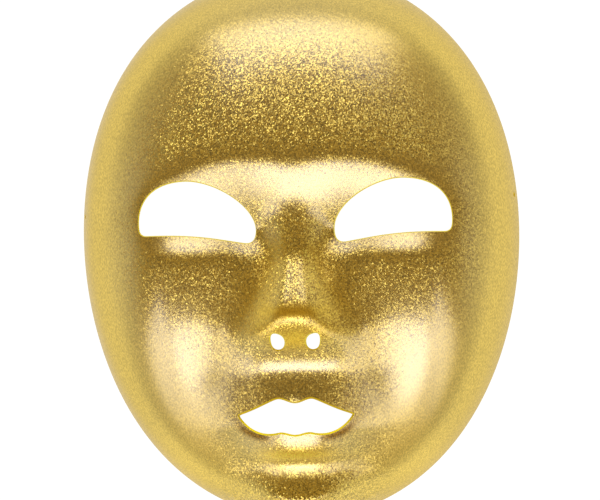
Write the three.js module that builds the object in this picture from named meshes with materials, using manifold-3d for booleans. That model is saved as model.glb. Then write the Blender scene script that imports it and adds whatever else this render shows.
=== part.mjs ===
// A full-face party mask: one thin sheet of metallised plastic, formed over a mould and trimmed flat at the back.
// It lies on its trimmed rim. Millimetres, +X to the viewer's right, +Y to the forehead, +Z out of the face.
// The origin is the centre of the rim's footprint, on the surface that the rim rests on.
import * as THREE from "three";
import { mergeVertices } from "three/addons/utils/BufferGeometryUtils.js";
import Module from "manifold-3d";

// The sheet and the egg-shaped rim
const WALL = 0.8;
const RIM_HALF_WIDTH = 90.4;
const RIM_HALF_HEIGHT = 113.6;
const RIM_TOP_HEAVY = 0.036; // how much wider the rim is towards the forehead
const RIM_FULLNESS = 0.06; // how much wider than an ellipse it is towards both ends

// The dome that the features stand on
const RIM_WALL = 12; // how high the steep wall at the rim stands
const RIM_WALL_STEEPNESS = 24;
const DOME_HEIGHT = 35;
const DOME_FLATNESS = 1.92;
const DOME_SHOULDER = 0.84;
const RIM_SLOPE = 0.01; // keeps the wall just short of upright at the rim

// The openings
const EYE_CORNER_X = 16; // inner end of each eye opening, from the mid line
const MOUTH_X = -1.1; // the mouth was cut a little off the mid line
const MOUTH_HALF_WIDTH = 23.1;
const STRAP_HOLE_RADIUS = 1.1;
const STRAP_HOLE_HEIGHT = 5;
const STRAP_HOLES_Y = { left: 13, right: 19 };

// The mesh: rings run from a pole at the foot of the nose out to the rim
const POLE_Y = -45;
const RINGS = 26;
const SECTORS = 80;

// Smooth building blocks for the relief
const bell = (d, w, n = 2) => Math.exp(-Math.pow(Math.abs(d / w), n));
const fill = (v, k) => k * (Math.max(v / k, 0) + Math.log1p(Math.exp(-Math.abs(v / k))));
const fade = (d, w) => 0.5 * (1 - Math.tanh(d / w));
const least = (k, ...v) => {
  const m = Math.min(...v);
  return m - k * Math.log(v.reduce((sum, q) => sum + Math.exp((m - q) / k), 0));
};

// A line through (y0, z0) that turns at each [y, change of slope, rounding]
function bends(y, [y0, z0], slope, turns) {
  return turns.reduce(
    (z, [at, change, k]) => z + change * (fill(y - at, k) - fill(y0 - at, k)),
    z0 + slope * (y - y0),
  );
}

// How much wider than an ellipse the rim is at height t, from -1 at the chin to 1 at the top
const widening = (t) => 1 + RIM_TOP_HEAVY * t + RIM_FULLNESS * t * t;

// 0 on the axis of the dome, 1 on the rim
function level(x, y) {
  const t = y / RIM_HALF_HEIGHT;
  return Math.hypot(x / (RIM_HALF_WIDTH * widening(t)), t);
}

function dome(x, y) {
  const out = Math.min(level(x, y), 1);
  const inside = 1 - Math.pow(out, DOME_FLATNESS);
  const shape = (v) => Math.pow(v + RIM_SLOPE, DOME_SHOULDER);
  const share = (shape(inside) - shape(0)) / (shape(1) - shape(0));
  return RIM_WALL * (1 - Math.pow(out, RIM_WALL_STEEPNESS)) + DOME_HEIGHT * share;
}

function forehead(x, y) {
  return 9.8 * bell(x, 58) * bell(y - 57.5, 49.5, 4);
}

function eyeSockets(x, y) {
  const across = Math.hypot(x, 1);
  const brow = 35.4 - 1.6 * bell(x, 7.5) - 0.0074 * fill(across - 18.8, 2) ** 2;
  const underEye = fill(least(1, (y + 4.9) * 0.49, 6.5), 0.5) * (1 - bell(x, 19)) * fade(across - 55, 6);
  const besideBridge = 5 * bell(x, 23) * bell(y - 1.5, 18.7, 3) + 3.5 * bell(across - 17, 7.5) * bell(y - 9, 13);
  const depth = (forehead(x, y) + underEye + besideBridge) * fade(across - 60, 9);
  return -fill(least(1.5, (brow - y) * 0.42, depth), 0.5);
}

function cheeks(x, y) {
  const besideMouth = 0.8 * bell(Math.abs(x) - 40, 13) * bell(y + 51, 18.5);
  const besideNose = bell(Math.abs(x) - 29, 10) * bell(y + 21, 15.5);
  return 6.5 * bell(Math.abs(x) - 61, 22) * bell(y + 12.5, 48.5) - besideMouth - besideNose;
}

// Height of the mid line, from the chin to the foot of the nose, and from the tip of the nose to the brow:
// where it turns, how much its slope changes there, and how softly
const CHIN = [-98.7, 32];
const LOWER_PROFILE = [
  [-108, -3.7, 2],
  [-100.5, 0.6, 1],
  [-95.3, 0.52, 1],
  [-88.4, 0.8, 1],
  [-84.6, -0.8, 1.2],
  [-76.5, -0.45, 1.2],
  [-51.2, 0.45, 1.3],
  [-46, 0.12, 2],
  [-41, 0.2, 2.5],
];
const NASION = [4, 47];
const UPPER_PROFILE = [
  [-25.8, -0.44, 1.5],
  [-3.5, 0.41, 1.5],
  [14.3, 0.31, 2],
];

function muzzle(x, y) {
  const underMouth = fade(y + 75, 5);
  const along = y - x * x * (0.004 * underMouth + 0.008 * fade(y + 92, 3));
  const jaw = 59 + 0.75 * (along + 45.5);
  const lips = bends(along, CHIN, 3, LOWER_PROFILE) - jaw;
  const proud = fill(jaw - dome(0, along), 0.8) * bell(x, 24.7, 3);
  return (proud + lips * bell(x, 26.2 - 5.5 * underMouth, 2.5)) * fade(y + 33, 6);
}

function face(x, y) {
  return dome(x, y) + forehead(x, y) + eyeSockets(x, y) + cheeks(x, y) + muzzle(x, y);
}

function nose(x, y) {
  const crest = fill(bends(y, NASION, 0, UPPER_PROFILE) - face(0, y), 0.8);
  const across = Math.hypot(x, 1);
  const tip = fade(y + 17, 11);
  const halfWidth = 7.8 + 7.2 * tip + 6 * fade(7.5 - y, 5);
  const below = fill((-26 - x * x / 90 - y) / 11, 0.08);
  return crest * Math.exp(-((across / halfWidth) ** (2 + 0.55 * tip)) - below**2.5) * fade(y - 31, 4);
}

function height(x, y) {
  const features = face(x, y) - dome(x, y) + nose(x, y);
  return dome(x, y) + features * (1 - Math.min(level(x, y), 1) ** 30);
}

function normal(x, y) {
  const h = 0.05;
  const slopeX = (height(x + h, y) - height(x - h, y)) / (2 * h);
  const slopeY = (height(x, y + h) - height(x, y - h)) / (2 * h);
  return new THREE.Vector3(-slopeX, -slopeY, 1).normalize();
}

// The rim's point at an angle round it, and the direction out of it in plan
function rimPoint(angle) {
  const t = Math.sin(angle);
  return new THREE.Vector2(RIM_HALF_WIDTH * widening(t) * Math.cos(angle), RIM_HALF_HEIGHT * t);
}
function rimOutward(angle) {
  const along = rimPoint(angle + 1e-4).sub(rimPoint(angle - 1e-4));
  return new THREE.Vector2(along.y, -along.x).normalize();
}

// A point of the sheet's front or back, at a share u of the way from the pole to the rim
function sheetPoint(angle, u, back) {
  const rim = rimPoint(angle);
  if (u === 1) {
    if (back) rim.addScaledVector(rimOutward(angle), -WALL);
    return new THREE.Vector3(rim.x, rim.y, 0);
  }
  const out = Math.pow(Math.sin((u * Math.PI) / 2), 1.15);
  const x = rim.x * out;
  const y = POLE_Y + (rim.y - POLE_Y) * out;
  const point = new THREE.Vector3(x, y, height(x, y));
  if (back) point.addScaledVector(normal(x, y), -WALL);
  return point;
}

// A sphere's grid laid over the sheet: its upper half is the front, its lower half the back
function sheetGeometry() {
  const rows = 2 * RINGS + 1;
  const geometry = new THREE.SphereGeometry(1, SECTORS, rows);
  const position = geometry.getAttribute("position");
  for (let row = 0, i = 0; row <= rows; row++) {
    const back = row > RINGS;
    const ring = back ? rows - row : row;
    for (let sector = 0; sector <= SECTORS; sector++, i++) {
      const angle = Math.PI / 2 + (2 * Math.PI * (sector % SECTORS)) / SECTORS;
      const point = sheetPoint(angle, ring / RINGS, back);
      position.setXYZ(i, point.x, point.y, point.z);
    }
  }
  return geometry;
}

// Outlines of the openings, seen from the front; side is 1 on the right and -1 on the left
function eyeOutline(side) {
  const shape = new THREE.Shape();
  const x = (fromCorner) => side * (EYE_CORNER_X + fromCorner);
  shape.moveTo(x(0), 6.5);
  shape.bezierCurveTo(x(-0.1), 2.6, x(1.2), 0.4, x(4.6), 0.9);
  shape.bezierCurveTo(x(14), 2.4, x(24), 4.9, x(44), 4.4);
  shape.bezierCurveTo(x(46.2), 4.3, x(47.2), 5.2, x(47.4), 7.4);
  shape.bezierCurveTo(x(48.2), 15.6, x(44.4), 25.6, x(28.2), 26.1);
  shape.bezierCurveTo(x(16.2), 26.2, x(0.4), 16.2, x(0), 6.5);
  return shape;
}

function mouthOutline() {
  const shape = new THREE.Shape();
  const across = (side, x) => MOUTH_X + side * x;
  shape.moveTo(MOUTH_X, -64.2);
  shape.bezierCurveTo(across(1, 2.6), -64.2, across(1, 4.4), -62.3, across(1, 6.9), -62.4);
  shape.bezierCurveTo(across(1, 9), -62.6, across(1, 15), -66.4, across(1, MOUTH_HALF_WIDTH), -69);
  shape.bezierCurveTo(across(1, 18), -74.2, across(1, 12.8), -76.4, across(1, 6.5), -75.1);
  shape.bezierCurveTo(across(1, 3.6), -75, across(1, 2.4), -76.4, across(1, 0), -76.4);
  shape.bezierCurveTo(across(-1, 2.4), -76.4, across(-1, 3.6), -75, across(-1, 6.5), -75.1);
  shape.bezierCurveTo(across(-1, 12.8), -76.4, across(-1, 18), -74.2, across(-1, MOUTH_HALF_WIDTH), -69);
  shape.bezierCurveTo(across(-1, 15), -66.4, across(-1, 9), -62.6, across(-1, 6.9), -62.4);
  shape.bezierCurveTo(across(-1, 4.4), -62.3, across(-1, 2.6), -64.2, across(-1, 0), -64.2);
  return shape;
}

function nostrilOutline(side) {
  const shape = new THREE.Shape();
  shape.moveTo(side * 4.4, -39.1);
  shape.bezierCurveTo(side * 4.4, -41.2, side * 5.6, -42.3, side * 7.2, -42.2);
  shape.bezierCurveTo(side * 9.1, -42.1, side * 9.9, -40.4, side * 9.9, -37.9);
  shape.bezierCurveTo(side * 9.9, -36.3, side * 9.3, -35.5, side * 7.9, -35.7);
  shape.bezierCurveTo(side * 5.8, -36, side * 4.4, -37.2, side * 4.4, -39.1);
  return shape;
}

// Cutters, long enough to pass through the sheet
function punch(shape, curveSegments) {
  const depth = 80;
  const geometry = new THREE.ExtrudeGeometry(shape, { depth, curveSegments, bevelEnabled: false });
  return geometry.translate(0, 0, 5);
}

function strapHole(side, y) {
  const geometry = new THREE.CylinderGeometry(STRAP_HOLE_RADIUS, STRAP_HOLE_RADIUS, 16, 12);
  return geometry.rotateZ(Math.PI / 2).translate(side * RIM_HALF_WIDTH, y, STRAP_HOLE_HEIGHT);
}

const wasm = await Module();
wasm.setup();

function solid(geometry) {
  const bare = geometry.clone();
  bare.deleteAttribute("normal");
  bare.deleteAttribute("uv");
  const merged = mergeVertices(bare, 1e-4);
  return new wasm.Manifold(
    new wasm.Mesh({
      numProp: 3,
      vertProperties: merged.getAttribute("position").array,
      triVerts: new Uint32Array(merged.index.array),
    }),
  );
}

function geometryOf(manifold) {
  const mesh = manifold.getMesh();
  return new THREE.BufferGeometry()
    .setAttribute("position", new THREE.BufferAttribute(mesh.vertProperties, 3))
    .setIndex(new THREE.BufferAttribute(mesh.triVerts, 1));
}

const cuts = [
  punch(eyeOutline(-1), 8),
  punch(eyeOutline(1), 8),
  punch(nostrilOutline(-1), 4),
  punch(nostrilOutline(1), 4),
  punch(mouthOutline(), 5),
  strapHole(-1, STRAP_HOLES_Y.left),
  strapHole(1, STRAP_HOLES_Y.right),
];
const shell = cuts.reduce((rest, cut) => rest.subtract(solid(cut)), solid(sheetGeometry()));

const goldPlastic = new THREE.MeshStandardMaterial({ color: 0xc9a441, roughness: 0.38, metalness: 1 });
const mask = new THREE.Mesh(geometryOf(shell), goldPlastic);
mask.name = "mask_shell";

const part = new THREE.Group();
part.add(mask);
export default part;
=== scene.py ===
import math

import bmesh
import bpy
from mathutils import Matrix, Vector


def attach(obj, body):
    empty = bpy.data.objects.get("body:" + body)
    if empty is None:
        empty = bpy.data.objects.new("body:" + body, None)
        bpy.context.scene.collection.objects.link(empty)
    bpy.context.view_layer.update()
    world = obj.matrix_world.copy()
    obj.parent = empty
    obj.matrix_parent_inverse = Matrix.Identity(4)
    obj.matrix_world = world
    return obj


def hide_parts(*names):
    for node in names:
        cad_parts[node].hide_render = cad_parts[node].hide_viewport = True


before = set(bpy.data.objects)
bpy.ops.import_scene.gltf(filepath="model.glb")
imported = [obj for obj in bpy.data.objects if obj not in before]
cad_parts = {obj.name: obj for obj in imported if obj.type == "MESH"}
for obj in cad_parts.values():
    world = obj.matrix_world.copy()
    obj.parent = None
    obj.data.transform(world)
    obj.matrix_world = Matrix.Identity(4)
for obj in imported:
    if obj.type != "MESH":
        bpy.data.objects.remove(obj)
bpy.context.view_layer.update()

# Sizes and places are in millimetres until the mesh is finished, from the middle of the rim
MM = 0.001

# The sheet and its egg-shaped rim
SHEET = 0.8
RIM_HALF_WIDTH = 90.4
RIM_HALF_HEIGHT = 113.6
RIM_TOP_HEAVY = 0.036
RIM_FULLNESS = 0.06
RIM_WALL = 12.0
RIM_WALL_STEEPNESS = 24
DOME_HEIGHT = 35.0
DOME_FLATNESS = 1.92
DOME_SHOULDER = 0.84
RIM_SLOPE = 0.01
# How sharply the features die out at the rim
RIM_FADE = 30

# How finely the sheet is divided
COLUMNS = 200
ROWS = 226
RIM_CROWDING = 0.12
POINTS_PER_CURVE = 24

# The openings, and how much wider each is at the front of the sheet than at the back
EYE_CORNER_X = 16.0
MOUTH_X = -1.1
MOUTH_HALF_WIDTH = 23.1
EYE_TRIM = 0.4
NOSTRIL_TRIM = 0.5
MOUTH_TRIM = 0.75
STRAP_HOLE_RADIUS = 1.1
STRAP_HOLE_HEIGHT = 5.0
# The side and the place up the face of each strap hole
STRAP_HOLES = ((-1, 13.0), (1, 19.0))

# How cut_opening finds and eases the edge of an opening
NEAR = 1.5
CORNER_BEND = 0.6
EVENING_ROUNDS = 60
ALONG = 0.2
RINGS_EASED = 5
EASING_ROUNDS = 12

# What counts as the side wall and as the rim, and the steepest slope that the back is kept true on
SIDE_WALL_X = 60.0
ON_THE_RIM = 0.001
LEAST_UPRIGHT = 0.5

# Materials of the mask, in the order of its slots
FRONT, BACK, CUT_EDGE = range(3)

# Colours of the gold film: painted shade below the mouth corners, the film as it was laid, and the film drawn
# out in forming, brightened and yellowed there as painted reflection of light bounced in the hollows
PAINTED_SHADE_FILM = (0.34, 0.17, 0.02, 1.0)
LAID_FILM = (0.66, 0.478, 0.09, 1.0)
DRAWN_FILM_AND_BOUNCE = (0.9, 0.6, 0.07, 1.0)
LAID_FILM_AT = 0.3
FILM_TINT = (0.8, 0.75, 0.6, 1.0)
BACK_GOLD = (0.7, 0.52, 0.2, 1.0)
EDGE_YELLOW = (0.82, 0.68, 0.02, 1.0)

# How many flakes, and how many dapples along each axis, there are to a metre of film
FLAKES = 2150.0
DAPPLES = (2000.0, 1000.0, 2000.0)
# How far the dapple and the flakes each vary the film's shade
DAPPLE_DEPTH = 0.18
DAPPLE_LOW, DAPPLE_HIGH = 0.3, 0.7
FLAKE_SHADES = 1.2
# How far a flake leans where the grain is full: most lean less than this, and the last quarter more
FLAKE_LEAN = 0.5
MOST_LEAN = 0.8
LAST_LEAN = 2.2
LAST_QUARTER = 0.75
# How rough the film is where it is smooth and where it is grained, and the gloss over it
SMOOTH_ROUGHNESS = 0.32
GRAINED_ROUGHNESS = 0.28
GLOSS_ROUGHNESS = 0.25
GLOSS_IOR = 2.4

# Each softbox: degrees off the vertical, azimuth from +X, width and height in metres, and radiance
SOFTBOXES = {
    "overhead_softbox": (59.3, 90, (1.74, 0.6), 1.75),
    "front_softbox": (42, -90, (1.1, 0.48), 2.6),
    "front_left_softbox": (55.5, -141, (0.46, 0.6), 1.36),
    "front_right_softbox": (55.5, -39, (0.46, 0.6), 1.36),
}
SOFTBOX_DISTANCE = 1.2
SOFTBOX_COLOUR = (1.0, 1.04, 1.3)

# The studio's surroundings, from low down to high up, and its floor
LOW_WALLS = (0.12, (0.68, 0.68, 0.68, 1.0))
CEILING = (0.42, (0.33, 0.235, 0.075, 1.0))
FLOOR_HALF_SIZE = 3.0
FLOOR_GREY = (0.08, 0.08, 0.08, 1.0)
FLOOR_LIT = (1.0, 1.0, 1.0, 1.0)

# The camera looks down on the face, from a little to its right
LOOK_FROM = 1.5
LOOK_TILT = 3.5
LOOK_ROLL = 1.0
SENSOR_WIDTH = 36.0
FRAME_WIDTH = 600
MM_PER_PIXEL = 0.4147
LOOK_AT_X = -0.39
LOOK_AT_Y = -2.31


def bell(d, w, n=2.0):
    """1 at d = 0, falling off over a distance w, the more squarely the larger n is."""
    return math.exp(-(abs(d / w) ** n))


def fill(v, k):
    """v where it is positive and 0 elsewhere, with the corner rounded by k."""
    return k * (max(v / k, 0.0) + math.log1p(math.exp(-abs(v / k))))


def fade(d, w):
    """1 well below d = 0 and 0 well above it, changing over a distance w."""
    return 0.5 * (1.0 - math.tanh(d / w))


def least(k, *v):
    """The smallest of some values, with the corners between them rounded by k."""
    m = min(v)
    return m - k * math.log(sum(math.exp((m - q) / k) for q in v))


def bends(y, start, slope, turns):
    """A line through start that changes its slope at each of its turns."""
    z = start[1] + slope * (y - start[0])
    for at, change, k in turns:
        z += change * (fill(y - at, k) - fill(start[0] - at, k))
    return z


def widening(t):
    """How much wider the egg is than an ellipse, at a share of its half height."""
    return 1.0 + RIM_TOP_HEAVY * t + RIM_FULLNESS * t * t


def level(x, y):
    """0 in the middle of the egg and 1 on its rim."""
    t = y / RIM_HALF_HEIGHT
    return math.hypot(x / (RIM_HALF_WIDTH * widening(t)), t)


def dome(x, y):
    """The plain shell that the features stand on."""
    out = min(level(x, y), 1.0)
    inside = 1.0 - out**DOME_FLATNESS
    low = RIM_SLOPE**DOME_SHOULDER
    high = (1.0 + RIM_SLOPE) ** DOME_SHOULDER
    share = ((inside + RIM_SLOPE) ** DOME_SHOULDER - low) / (high - low)
    return RIM_WALL * (1.0 - out**RIM_WALL_STEEPNESS) + DOME_HEIGHT * share


def forehead(x, y):
    """A broad swell above the brow."""
    return 9.8 * bell(x, 58.0) * bell(y - 57.5, 49.5, 4)


def eye_sockets(x, y):
    """The hollows under the brow, down to the fold under each eye opening."""
    across = math.hypot(x, 1.0)
    brow = 35.4 - 1.6 * bell(x, 7.5) - 0.0074 * fill(across - 18.8, 2.0) ** 2
    lid = fill(least(1.0, (y + 4.9) * 0.49, 6.5), 0.5)
    under_eye = lid * (1.0 - bell(x, 19.0)) * fade(across - 58.0, 5.0)
    beside_bridge = 5.0 * bell(x, 23.0) * bell(y - 1.5, 18.7, 3)
    tear_duct = 3.5 * bell(across - 17.0, 7.5) * bell(y - 9.0, 13.0)
    depth = (forehead(x, y) + under_eye + beside_bridge + tear_duct) * fade(across - 60.0, 9.0)
    return -fill(least(1.5, (brow - y) * 0.42, depth), 0.5)


def cheeks(x, y):
    """A full cheek on each side, a little flatter beside the nose and the mouth."""
    beside_mouth = 0.8 * bell(abs(x) - 40.0, 13.0) * bell(y + 51.0, 18.5)
    beside_nose = bell(abs(x) - 29.0, 10.0) * bell(y + 21.0, 15.5)
    return 6.5 * bell(abs(x) - 61.0, 22.0) * bell(y + 12.5, 48.5) - beside_mouth - beside_nose


# Height of the mid line, from the chin to the foot of the nose, and from the tip of the nose to the brow:
# where it turns, how much its slope changes there, and how softly
CHIN = (-98.7, 32.0)
LOWER_PROFILE = (
    (-108.0, -3.7, 2.0),
    (-100.5, 0.6, 1.0),
    (-95.3, 0.52, 1.0),
    (-88.4, 0.8, 1.0),
    (-84.6, -0.8, 1.2),
    (-76.5, -0.45, 1.2),
    (-51.2, 0.45, 1.3),
    (-46.0, 0.12, 2.0),
    (-41.0, 0.2, 2.5),
)
NASION = (4.0, 47.0)
UPPER_PROFILE = (
    (-25.8, -0.44, 1.5),
    (-3.5, 0.41, 1.5),
    (14.3, 0.31, 2.0),
)


def muzzle(x, y):
    """The part that stands out round the mouth, with the lips and the chin."""
    under_mouth = fade(y + 75.0, 5.0)
    along = y - x * x * (0.004 * under_mouth + 0.008 * fade(y + 92.0, 3.0))
    jaw = 59.0 + 0.75 * (along + 45.5)
    lips = bends(along, CHIN, 3.0, LOWER_PROFILE) - jaw
    proud = fill(jaw - dome(0.0, along), 0.8) * bell(x, 24.7, 3)
    return (proud + lips * bell(x, 26.2 - 5.5 * under_mouth, 2.5)) * fade(y + 33.0, 6.0)


def face(x, y):
    """The front without its nose."""
    return dome(x, y) + forehead(x, y) + eye_sockets(x, y) + cheeks(x, y) + muzzle(x, y)


def nose(x, y):
    """How far the nose stands out of the face."""
    crest = fill(bends(y, NASION, 0.0, UPPER_PROFILE) - face(0.0, y), 0.8)
    across = math.hypot(x, 1.0)
    tip = fade(y + 17.0, 11.0)
    half_width = 7.8 + 7.2 * tip + 6.0 * fade(7.5 - y, 5.0)
    below = fill((-26.0 - x * x / 90.0 - y) / 11.0, 0.08)
    section = math.exp(-((across / half_width) ** (2.0 + 0.55 * tip)) - below**2.5)
    return crest * section * fade(y - 31.0, 4.0)


def height(x, y):
    """The height of the front above the plane that the rim rests on."""
    lip_dip = 1.6 * bell(x - MOUTH_X, 4.5) * bell(y + 66.8, 3.4)
    features = face(x, y) - dome(x, y) + nose(x, y) - lip_dip
    return dome(x, y) + features * (1.0 - min(level(x, y), 1.0) ** RIM_FADE)


# Outlines of the openings seen from the front, each a run of cubic curves
def eye_curves(side):
    def at(x, y):
        return (side * (EYE_CORNER_X + x), y)

    return [
        [at(0, 6.5), at(-0.1, 2.6), at(1.2, 0.4), at(4.6, 0.9)],
        [at(4.6, 0.9), at(14, 2.4), at(24, 4.9), at(44, 4.4)],
        [at(44, 4.4), at(46.2, 4.3), at(47.2, 5.2), at(47.4, 7.4)],
        [at(47.4, 7.4), at(48.2, 15.6), at(44.4, 25.6), at(28.2, 26.1)],
        [at(28.2, 26.1), at(16.2, 26.2), at(0.4, 16.2), at(0, 6.5)],
    ]


def nostril_curves(side):
    def at(x, y):
        return (side * x, y)

    return [
        [at(4.4, -39.1), at(4.4, -41.2), at(5.6, -42.3), at(7.2, -42.2)],
        [at(7.2, -42.2), at(9.1, -42.1), at(9.9, -40.4), at(9.9, -37.9)],
        [at(9.9, -37.9), at(9.9, -36.3), at(9.3, -35.5), at(7.9, -35.7)],
        [at(7.9, -35.7), at(5.8, -36.0), at(4.4, -37.2), at(4.4, -39.1)],
    ]


def mouth_curves():
    def half(side):
        def at(x, y):
            return (MOUTH_X + side * x, y)

        return [
            [at(0, -64.2), at(2.6, -64.2), at(4.4, -62.3), at(6.9, -62.4)],
            [at(6.9, -62.4), at(9, -62.6), at(15, -66.4), at(MOUTH_HALF_WIDTH, -69)],
            [at(MOUTH_HALF_WIDTH, -69), at(19, -75.2), at(13, -77.6), at(6.5, -75.8)],
            [at(6.5, -75.8), at(3.6, -75.6), at(2.4, -76.8), at(0, -76.8)],
        ]

    back = [curve[::-1] for curve in half(-1)[::-1]]
    return half(1) + back


def cubic(curve, t):
    """The point of a cubic curve at a share of its way."""
    a, b, c, d = (Vector(p) for p in curve)
    return a * (1 - t) ** 3 + b * 3 * t * (1 - t) ** 2 + c * 3 * t * t * (1 - t) + d * t**3


class Outline:
    """A closed outline in the plan, walked by its length."""

    def __init__(self, curves, wider):
        shares = [i / POINTS_PER_CURVE for i in range(POINTS_PER_CURVE)]
        points = [cubic(curve, t) for curve in curves for t in shares]
        turning = sum(a.x * b.y - a.y * b.x for a, b in zip(points, points[1:] + points[:1]))
        if turning < 0:
            points.reverse()
        self.points = [self._shifted(points, i, wider) for i in range(len(points))]
        self.corners = [i for i in range(len(points)) if self._bend(i) > CORNER_BEND]
        self.lengths = [0.0]
        for a, b in zip(self.points, self.points[1:] + self.points[:1]):
            self.lengths.append(self.lengths[-1] + (b - a).length)
        self.total = self.lengths[-1]

    @staticmethod
    def _shifted(points, i, wider):
        """A point moved outwards, square to the outline."""
        along = (points[(i + 1) % len(points)] - points[i - 1]).normalized()
        return points[i] + Vector((along.y, -along.x)) * wider

    def _bend(self, i):
        """How sharply the outline turns at a point, in radians."""
        before = self.points[i] - self.points[i - 1]
        after = self.points[(i + 1) % len(self.points)] - self.points[i]
        return before.angle(after)

    def holds(self, p):
        """Whether a point is inside the outline."""
        inside = False
        for a, b in zip(self.points, self.points[1:] + self.points[:1]):
            if (a.y > p.y) != (b.y > p.y) and p.x < a.x + (p.y - a.y) * (b.x - a.x) / (b.y - a.y):
                inside = not inside
        return inside

    def nearest(self, p):
        """How far along the outline it is closest to a point."""
        best = None
        for i, a in enumerate(self.points):
            b = self.points[(i + 1) % len(self.points)]
            t = min(max((p - a).dot(b - a) / (b - a).length_squared, 0.0), 1.0)
            gap = (p - a.lerp(b, t)).length
            if best is None or gap < best[0]:
                best = (gap, self.lengths[i] + t * (b - a).length)
        return best[1]

    def at(self, length):
        """The point that far along the outline."""
        length %= self.total
        for i, a in enumerate(self.points):
            if length <= self.lengths[i + 1]:
                b = self.points[(i + 1) % len(self.points)]
                share = (length - self.lengths[i]) / max(self.lengths[i + 1] - self.lengths[i], 1e-9)
                return a.lerp(b, share)
        return self.points[0]


def edge_loop(start, edges):
    """The vertices of the loop of boundary edges that start is on, in order."""
    loop = [start]
    came = None
    while True:
        here = loop[-1]
        edge = next(e for e in here.link_edges if e in edges and e is not came)
        here = edge.other_vert(here)
        if here is start:
            return loop
        loop.append(here)
        came = edge


def spread(walk, fixed, total):
    """Evens out where the points of a loop stand along an outline, between those that are fixed."""
    n = len(walk)
    for _ in range(EVENING_ROUNDS):
        for i in range(n):
            if i not in fixed:
                before = walk[i - 1] - (total if i == 0 else 0.0)
                after = walk[(i + 1) % n] + (total if i == n - 1 else 0.0)
                walk[i] = 0.5 * walk[i] + 0.25 * (before + after)


def cut_opening(bm, curves, trim, inward):
    """Cuts an opening, draws the grid to its edge, and notes how far its back edge stands in from there."""
    outline = Outline(curves, trim)
    left, right = min(p.x for p in outline.points) - NEAR, max(p.x for p in outline.points) + NEAR
    bottom, top = min(p.y for p in outline.points) - NEAR, max(p.y for p in outline.points) + NEAR

    def near(p):
        return left < p.x < right and bottom < p.y < top

    middles = [(f, f.calc_center_median()) for f in bm.faces]
    gone = [f for f, middle in middles if near(middle) and outline.holds(middle.xy)]
    bmesh.ops.delete(bm, geom=gone, context="FACES")
    edges = {e for e in bm.edges if e.is_boundary and near(e.verts[0].co)}
    start = min((v for e in edges for v in e.verts), key=lambda v: (v.co.y, v.co.x))
    loop = edge_loop(start, edges)
    area = sum(a.co.x * b.co.y - a.co.y * b.co.x for a, b in zip(loop, loop[1:] + loop[:1]))
    if area < 0:
        loop.reverse()

    walk = [outline.nearest(v.co.xy) for v in loop]
    for i in range(1, len(walk)):
        while walk[i] < walk[i - 1] - outline.total / 2:
            walk[i] += outline.total
        while walk[i] > walk[i - 1] + outline.total / 2:
            walk[i] -= outline.total
    fixed = set()
    for corner in outline.corners:
        there = outline.lengths[corner]
        i = min(range(len(loop)), key=lambda k: (loop[k].co.xy - outline.points[corner]).length)
        walk[i] = there + outline.total * round((walk[i] - there) / outline.total)
        fixed.add(i)
    spread(walk, fixed, outline.total)

    for v, length in zip(loop, walk):
        v.co.xy = outline.at(length)
        along = outline.at(length + ALONG) - outline.at(length - ALONG)
        inward[v] = Vector((-along.y, along.x)).normalized() * trim

    around = set(loop)
    for _ in range(RINGS_EASED):
        around |= {e.other_vert(v) for v in around for e in v.link_edges}
    around -= {v for v in around if v.is_boundary}
    for _ in range(EASING_ROUNDS):
        bmesh.ops.smooth_vert(bm, verts=list(around), factor=0.5, use_axis_x=True, use_axis_y=True)


def wall_x(side, y, z):
    """Where the front of the side wall is, at a height."""
    low, high = SIDE_WALL_X, RIM_HALF_WIDTH * widening(y / RIM_HALF_HEIGHT)
    for _ in range(40):
        middle = 0.5 * (low + high)
        if height(side * middle, y) > z:
            low = middle
        else:
            high = middle
    return side * low


def cut_strap_hole(bm, side, y):
    """Cuts a round hole in the side wall and draws the grid to its edge."""
    middle = Vector((y, STRAP_HOLE_HEIGHT))

    def off(p):
        return p.yz - middle

    def in_hole(p):
        return p.x * side > SIDE_WALL_X and off(p).length < STRAP_HOLE_RADIUS

    gone = [f for f in bm.faces if in_hole(f.calc_center_median())]
    edges = {e for f in gone for e in f.edges if any(g not in gone for g in e.link_faces)}
    bmesh.ops.delete(bm, geom=gone, context="FACES")
    for v in {v for e in edges for v in e.verts}:
        v.co.yz = middle + off(v.co).normalized() * STRAP_HOLE_RADIUS
        v.co.x = wall_x(side, v.co.y, v.co.z)


def plan(u, v):
    """A point of a square of side 2, laid over the egg-shaped plan with its rows crowded at the rim."""
    p = u * math.sqrt(1.0 - v * v / 2.0)
    q = v * math.sqrt(1.0 - u * u / 2.0)
    out = math.hypot(p, q)
    grow = 1.0 + RIM_CROWDING * (1.0 - out**6)
    return RIM_HALF_WIDTH * widening(q * grow) * p * grow, RIM_HALF_HEIGHT * q * grow


def front_sheet():
    """The front of the mask with its openings, and how far each opening's back edge stands in."""
    bm = bmesh.new()
    # The marks come first, because a layer added later would lose the vertices noted in inward
    for name in ("colour", "grain", "clear", "painted_light_shade"):
        bm.verts.layers.float.new(name)
    inward = {}
    bmesh.ops.create_grid(bm, x_segments=COLUMNS, y_segments=ROWS, size=1.0)
    for v in bm.verts:
        v.co.x, v.co.y = plan(v.co.x, v.co.y)
    for side in (-1, 1):
        cut_opening(bm, eye_curves(side), EYE_TRIM, inward)
        cut_opening(bm, nostril_curves(side), NOSTRIL_TRIM, inward)
    cut_opening(bm, mouth_curves(), MOUTH_TRIM, inward)
    for v in bm.verts:
        v.co.z = max(height(v.co.x, v.co.y), 0.0)
    for side, y in STRAP_HOLES:
        cut_strap_hole(bm, side, y)
    bm.normal_update()
    return bm, inward


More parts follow.
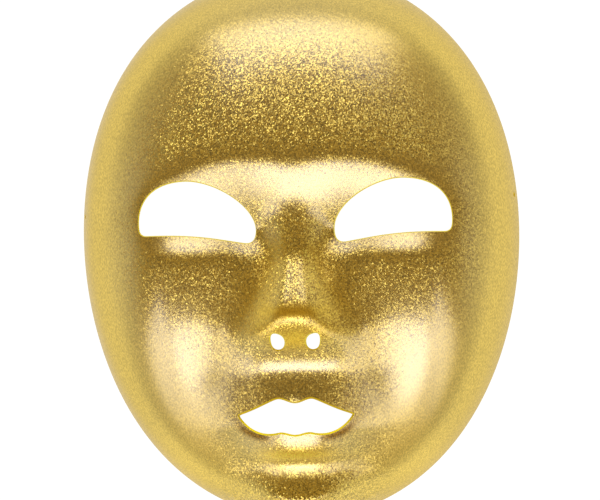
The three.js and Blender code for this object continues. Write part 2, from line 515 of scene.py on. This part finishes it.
def thicken(bm, inward):
    """Gives the sheet its back and its cut edges, and returns the front's vertices."""
    front = set(bm.verts)
    hem = {v for v in front if v.is_boundary and v.co.z < ON_THE_RIM}
    for v in hem:
        v.co.z = 0.0
    cut = {v for v in front if v.is_boundary} - hem
    bmesh.ops.solidify(bm, geom=list(bm.faces), thickness=SHEET)
    for v in hem | cut:
        back = next(e.other_vert(v) for e in v.link_edges if e.other_vert(v) not in front)
        if v in hem:
            back.co.z = 0.0
        elif v in inward:
            back.co.xy = v.co.xy + inward[v]
            back.co.z = height(back.co.x, back.co.y) - SHEET / max(v.normal.z, LEAST_UPRIGHT)
    for v in bm.verts:
        v.co.z = max(v.co.z, 0.0)
    return front


def step(v, low, high):
    """0 below low and 1 above high, with an even change between them."""
    t = min(max((v - low) / (high - low), 0.0), 1.0)
    return t * t * (3.0 - 2.0 * t)


def within(*zones):
    """How far a place is in one zone or another, from 0 to 1."""
    outside = 1.0
    for zone in zones:
        outside *= 1.0 - zone
    return 1.0 - outside


# Zones of the film, each a soft spot: its strength, then its middle and half size across and up the face
def drawn_and_bounce_lit(x, y):
    """How far forming drew the film out smooth and thin, from 0 to 1: on the nose sides, tip, under the nose
    and in the chin fold, where the film's colour is also painted reflection of gold light bounced between the
    nose, lip and chin.
    """
    across = abs(x)
    reach = 13.0 + 8.0 * fade(y + 14.0, 14.0)
    ridge = 2.5 + 6.5 * fade(y + 12.0, 12.0)
    beside_ridge = fade(across - reach, 4.0) * fade(ridge - across, 3.0)
    nose_sides = 0.7 * beside_ridge * fade(y + 1.0, 9.0) * fade(-37.0 - y, 3.0)
    tip = bell(x, 13.0, 3) * bell(y + 27.0, 3.0)
    under_nose = bell(x, 11.0, 3) * bell(y + 37.5, 6.0, 3)
    fold = 0.9 * bell(x, 15.0, 3) * bell(y + 85.0, 3.0)
    return within(nose_sides, tip, under_nose, fold)


def smoothed(x, y):
    """How much weaker the film's sparkle is, from 0 to 1: weak at the rim and on the parts that stand out."""
    brow = 0.75 * bell(y - 24.0, 10.0, 3) * bell(x, 66.0, 4)
    cheek = 0.75 * bell(abs(x) - 46.0, 24.0, 3) * bell(y + 50.0, 34.0, 3)
    lips = 0.35 * bell(x, 28.0, 3) * bell(y + 71.0, 26.0, 4)
    lid = 0.75 * bell(abs(x) - 42.0, 22.0, 3) * bell(y - 2.5, 6.0)
    ridge = 0.1 * bell(x, 9.0, 3) * bell(y + 13.0, 12.0, 3)
    tip = 0.55 * bell(x, 13.0, 3) * bell(y + 27.0, 3.5)
    nose_foot = 0.5 * bell(x, 15.0, 3) * bell(y + 48.0, 4.0)
    chin = 0.5 * bell(x + 2.0, 15.0, 3) * bell(y + 92.0, 3.5)
    under_chin = bell(x, 32.0, 4) * fade(y + 80.0, 8.0)
    wall = 0.9 * step(level(x, y), 0.62, 0.9) * (1.0 - under_chin)
    drawn_bounce = 0.8 * drawn_and_bounce_lit(x, y)
    return within(brow, cheek, lips, lid, ridge, tip, nose_foot, chin, wall, drawn_bounce)


def glossy(x, y):
    """How clear the gloss over the film stayed: full on the brow, lids, cheeks, lips, chin and crown."""
    brow = bell(y - 25.0, 11.0, 3) * bell(x, 55.0, 3)
    cheek = bell(abs(x) - 49.0, 13.0, 3) * bell(y + 46.0, 30.0, 3)
    mouth = bell(x + 3.0, 20.0, 3) * (bell(y + 48.5, 5.5) + bell(y + 79.0, 4.0) + bell(y + 92.0, 4.0))
    crown = bell(x, 50.0, 3) * bell(y - 98.0, 16.0, 3)
    lid = bell(abs(x) - 45.0, 19.0, 3) * bell(y - 0.5, 4.5)
    proud = 0.55 + 0.45 * min(brow + cheek + mouth + crown + lid, 1.0)
    ridge = 0.25 * bell(x, 11.0, 3) * bell(y + 12.0, 15.0, 3)
    wall = 0.7 * step(level(x, y), 0.7, 0.92)
    return proud * (1.0 - ridge) * (1.0 - wall)


def painted_light_and_shade(x, y):
    """Painted light and shade on the film: 1 in most places, less as painted shade on the forehead, crown,
    brow, eye corners, nose sides, cheeks, beside the mouth and on the upper lip, and more as painted
    highlight on the nose ridge, jaw, chin fold and chin.
    """
    # Painted shade, dimming the film in these places
    forehead_middle = 0.06 * bell(x, 40.0, 3) * bell(y - 62.0, 13.0, 3)
    crown = 0.1 * bell(x, 45.0, 3) * bell(y - 96.0, 14.0, 3)
    brow = 0.09 * bell(y - 25.0, 11.0, 3) * bell(x, 55.0, 3)
    eye_corner = 0.22 * bell(abs(x) - 23.0, 7.0, 3) * bell(y, 5.0)
    nose_side = 0.07 * bell(abs(x) - 14.0, 6.0, 3) * bell(y + 12.0, 14.0, 3)
    cheek = 0.14 * bell(abs(x) - 47.0, 14.0, 3) * bell(y + 46.0, 30.0, 3)
    beside_mouth = 0.16 * bell(abs(x) - 31.0, 8.0, 3) * bell(y + 60.0, 16.0, 3)
    upper_lip = 0.18 * bell(x, 21.0, 3) * bell(y + 58.5, 6.0, 3)
    painted_dimming = forehead_middle + crown + brow + eye_corner + nose_side + cheek + beside_mouth + upper_lip
    # Painted highlight, lightening the film in these places
    ridge = 0.1 * bell(x, 8.0, 3) * bell(y + 13.0, 12.0, 3)
    jaw = 0.14 * bell(abs(x) - 44.0, 16.0, 3) * bell(y + 86.0, 14.0, 3)
    fold = 0.2 * bell(x + 3.0, 12.0, 3) * bell(y + 85.0, 3.5)
    chin = 0.3 * bell(x + 2.0, 17.0, 3) * bell(y + 91.5, 3.5)
    return 1.0 - painted_dimming + ridge + jaw + fold + chin


def painted_shade_under_mouth(x, y):
    """Where painted shade darkens the film just below the corners of the mouth, from 0 to 1."""
    across = abs(x - MOUTH_X)
    lip = -77.9 + 0.03 * (across - 11.0) ** 2
    return bell(across - 17.0, 7.0, 4) * bell(y - lip, 1.8)


def mark_film(bm):
    """Marks each point of the front with its film's colour, grain, clear gloss and painted light and shade.
    """
    marks = bm.verts.layers.float
    for v in bm.verts:
        x, y = v.co.xy
        drawn_bounce = drawn_and_bounce_lit(x, y)
        shade_under_mouth = painted_shade_under_mouth(x, y)
        # The colour mark darkens the film to painted shade below the mouth corners, and brightens it as
        # painted reflection where it is drawn out
        v[marks["colour"]] = LAID_FILM_AT * (1.0 - shade_under_mouth) + (1.0 - LAID_FILM_AT) * drawn_bounce
        v[marks["grain"]] = 1.0 - smoothed(x, y)
        v[marks["clear"]] = glossy(x, y) * (1.0 - drawn_bounce) * (1.0 - shade_under_mouth)
        # Painted light and shade, with more painted shade below the mouth corners
        v[marks["painted_light_shade"]] = (1.0 - 0.25 * shade_under_mouth) * painted_light_and_shade(x, y)


def gold_mask():
    """The mask as one piece, with a slot each for its front, its back and its cut edges."""
    bm, inward = front_sheet()
    mark_film(bm)
    front = thicken(bm, inward)
    for f in bm.faces:
        f.smooth = True
        on_front = sum(v in front for v in f.verts)
        f.material_index = FRONT if on_front == len(f.verts) else BACK if on_front == 0 else CUT_EDGE
    for e in bm.edges:
        e.smooth = len({f.material_index for f in e.link_faces}) == 1
    bmesh.ops.scale(bm, vec=(MM, MM, MM), verts=bm.verts)
    mesh = bpy.data.meshes.new("gold_mask")
    bm.to_mesh(mesh)
    bm.free()
    mask = bpy.data.objects.new("gold_mask", mesh)
    bpy.context.collection.objects.link(mask)
    return mask


def principled(name, settings):
    """A new material with its shader's own sockets set."""
    material = bpy.data.materials.new(name)
    material.use_nodes = True
    shader = material.node_tree.nodes["Principled BSDF"]
    for socket, value in settings.items():
        shader.inputs[socket].default_value = value
    return material, material.node_tree, shader


def mark(tree, name):
    """One of the marks on the front's points."""
    attribute = tree.nodes.new("ShaderNodeAttribute")
    attribute.attribute_name = name
    return attribute.outputs["Fac"]


def feed(tree, node, *values):
    """Fills a node's inputs in order, each from a number, a row of numbers or a link."""
    for socket, value in zip(node.inputs, values):
        if isinstance(value, bpy.types.NodeSocket):
            tree.links.new(value, socket)
        else:
            socket.default_value = value


def maths(tree, operation, *values):
    """The result of a sum with numbers and links."""
    node = tree.nodes.new("ShaderNodeMath")
    node.operation = operation
    feed(tree, node, *values)
    return node.outputs["Value"]


def vector_maths(tree, operation, *values):
    """The result of a sum with vectors and links."""
    node = tree.nodes.new("ShaderNodeVectorMath")
    node.operation = operation
    feed(tree, node, *values)
    return node.outputs["Vector"]


def ranged(tree, value, low, high, new_low, new_high):
    """A value carried from one range to another, and held at its ends."""
    node = tree.nodes.new("ShaderNodeMapRange")
    feed(tree, node, value, low, high, new_low, new_high)
    return node.outputs["Result"]


def scaled(tree, vector, by):
    """A vector or colour times a number."""
    node = tree.nodes.new("ShaderNodeVectorMath")
    node.operation = "SCALE"
    tree.links.new(vector, node.inputs["Vector"])
    tree.links.new(by, node.inputs["Scale"])
    return node.outputs["Vector"]


def gold_front():
    """Metallic gold film full of flakes that lean and shine each in its own way, under a clear gloss, its
    colour scaled by painted light and shade.
    """
    settings = {"Metallic": 1.0, "Specular Tint": FILM_TINT}
    settings.update({"Coat Roughness": GLOSS_ROUGHNESS, "Coat IOR": GLOSS_IOR})
    material, tree, shader = principled("sparkling_gold", settings)
    place = tree.nodes.new("ShaderNodeTexCoord").outputs["Object"]
    grain = mark(tree, "grain")
    tree.links.new(mark(tree, "clear"), shader.inputs["Coat Weight"])
    roughness = ranged(tree, grain, 0.0, 1.0, SMOOTH_ROUGHNESS, GRAINED_ROUGHNESS)
    tree.links.new(roughness, shader.inputs["Roughness"])

    # The film's colour runs from painted shade below the mouth, through the laid film, to the drawn film made
    # brighter and yellower as painted reflection
    film = tree.nodes.new("ShaderNodeValToRGB")
    stops = film.color_ramp.elements
    stops[0].color = PAINTED_SHADE_FILM
    stops.new(LAID_FILM_AT).color = LAID_FILM
    stops[2].color = DRAWN_FILM_AND_BOUNCE
    tree.links.new(mark(tree, "colour"), film.inputs["Fac"])

    dapple = tree.nodes.new("ShaderNodeTexNoise")
    dapple.inputs["Scale"].default_value = 1.0
    dapple.inputs["Detail"].default_value = 0.0
    tree.links.new(vector_maths(tree, "MULTIPLY", place, DAPPLES), dapple.inputs["Vector"])
    dapples = dapple.outputs["Fac"]
    thickness = ranged(tree, dapples, DAPPLE_LOW, DAPPLE_HIGH, 1.0 - DAPPLE_DEPTH, 1.0 + DAPPLE_DEPTH)

    flakes = tree.nodes.new("ShaderNodeTexVoronoi")
    flakes.inputs["Scale"].default_value = FLAKES
    tree.links.new(place, flakes.inputs["Vector"])
    channels = tree.nodes.new("ShaderNodeSeparateColor")
    tree.links.new(flakes.outputs["Color"], channels.inputs["Color"])

    shades = ranged(tree, grain, 0.0, 1.0, 0.0, FLAKE_SHADES)
    either_way = maths(tree, "SUBTRACT", channels.outputs["Red"], 0.5)
    shade = maths(tree, "MULTIPLY_ADD", either_way, shades, 1.0)
    # The film's colour is scaled here by its painted light and shade
    shown = maths(tree, "MULTIPLY", maths(tree, "MULTIPLY", thickness, shade), mark(tree, "painted_light_shade"))
    tree.links.new(scaled(tree, film.outputs["Color"], shown), shader.inputs["Base Color"])

    most = ranged(tree, grain, 0.0, 1.0, 0.0, FLAKE_LEAN)
    own = ranged(tree, channels.outputs["Blue"], LAST_QUARTER, 1.0, MOST_LEAN, LAST_LEAN)
    way = vector_maths(tree, "SUBTRACT", flakes.outputs["Color"], (0.5, 0.5, 0.5))
    lean = scaled(tree, way, maths(tree, "MULTIPLY", most, own))
    surface = tree.nodes.new("ShaderNodeNewGeometry").outputs["Normal"]
    tree.links.new(vector_maths(tree, "ADD", surface, lean), shader.inputs["Normal"])
    return material


def plain_back():
    """The bare inner side of the sheet."""
    settings = {"Metallic": 0.7, "Roughness": 0.45, "Base Color": BACK_GOLD}
    return principled("satin_gold_back", settings)[0]


def cut_edge():
    """The trimmed edge of the sheet, where its colour shows through."""
    settings = {"Metallic": 1.0, "Roughness": 0.5, "Base Color": EDGE_YELLOW}
    return principled("yellow_cut_edge", settings)[0]


def softbox(name, towards, size, radiance):
    """A rectangular light that faces the mask from one direction."""
    light = bpy.data.lights.new(name, "AREA")
    light.shape = "RECTANGLE"
    light.size, light.size_y = size
    light.energy = radiance * math.pi * size[0] * size[1]
    light.color = SOFTBOX_COLOUR
    lamp = bpy.data.objects.new(name, light)
    direction = Vector(towards).normalized()
    lamp.location = direction * SOFTBOX_DISTANCE
    lamp.rotation_euler = direction.to_track_quat("Z", "Y").to_euler()
    bpy.context.collection.objects.link(lamp)


def off_axis(degrees, azimuth):
    """The direction that many degrees from straight up, at an azimuth from +X."""
    a, b = math.radians(degrees), math.radians(azimuth)
    return (math.sin(a) * math.cos(b), math.sin(a) * math.sin(b), math.cos(a))


def surroundings():
    """Pale walls low down and a warm dim ceiling, for the gold to mirror."""
    world = bpy.data.worlds.new("studio")
    bpy.context.scene.world = world
    world.use_nodes = True
    tree = world.node_tree
    background = tree.nodes["Background"]
    place = tree.nodes.new("ShaderNodeTexCoord")
    split = tree.nodes.new("ShaderNodeSeparateXYZ")
    ramp = tree.nodes.new("ShaderNodeValToRGB")
    for stop, (position, colour) in zip(ramp.color_ramp.elements, (LOW_WALLS, CEILING)):
        stop.position = position
        stop.color = colour
    tree.links.new(place.outputs["Generated"], split.inputs["Vector"])
    tree.links.new(split.outputs["Z"], ramp.inputs["Fac"])
    tree.links.new(ramp.outputs["Color"], background.inputs["Color"])


def white_floor():
    """A plain floor, lit evenly white."""
    bm = bmesh.new()
    bmesh.ops.create_grid(bm, x_segments=1, y_segments=1, size=FLOOR_HALF_SIZE)
    mesh = bpy.data.meshes.new("floor")
    bm.to_mesh(mesh)
    bm.free()
    floor = bpy.data.objects.new("floor", mesh)
    settings = {"Roughness": 0.8, "Base Color": FLOOR_GREY}
    settings.update({"Emission Color": FLOOR_LIT, "Emission Strength": 1.0})
    mesh.materials.append(principled("white_floor", settings)[0])
    bpy.context.collection.objects.link(floor)
    return floor


def camera():
    """A camera that looks down on the mask, tilted and rolled a little."""
    data = bpy.data.cameras.new("camera")
    data.sensor_fit = "HORIZONTAL"
    data.sensor_width = SENSOR_WIDTH
    data.lens = SENSOR_WIDTH * LOOK_FROM / (FRAME_WIDTH * MM_PER_PIXEL * MM)
    data.clip_start = 0.05
    data.clip_end = 20.0
    seen_from = bpy.data.objects.new("camera", data)
    bpy.context.collection.objects.link(seen_from)
    tilt = math.radians(LOOK_TILT)
    roll = math.radians(LOOK_ROLL)
    across = Vector((math.cos(tilt), 0.0, -math.sin(tilt)))
    up = Vector((0.0, 1.0, 0.0))
    out = across.cross(up)
    turned_across = across * math.cos(roll) - up * math.sin(roll)
    turned_up = across * math.sin(roll) + up * math.cos(roll)
    aim = (turned_across * LOOK_AT_X + turned_up * LOOK_AT_Y) * MM
    place = aim + out * LOOK_FROM
    columns = Matrix((turned_across, turned_up, out)).transposed()
    seen_from.matrix_world = Matrix.Translation(place) @ columns.to_4x4()
    bpy.context.scene.camera = seen_from


mask = gold_mask()
mask.data.materials.append(gold_front())
mask.data.materials.append(plain_back())
mask.data.materials.append(cut_edge())
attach(mask, "root")
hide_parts("mask_shell")

camera()
for name, (degrees, azimuth, size, radiance) in SOFTBOXES.items():
    softbox(name, off_axis(degrees, azimuth), size, radiance)
surroundings()
white_floor()
bpy.context.scene.view_settings.view_transform = "Standard"
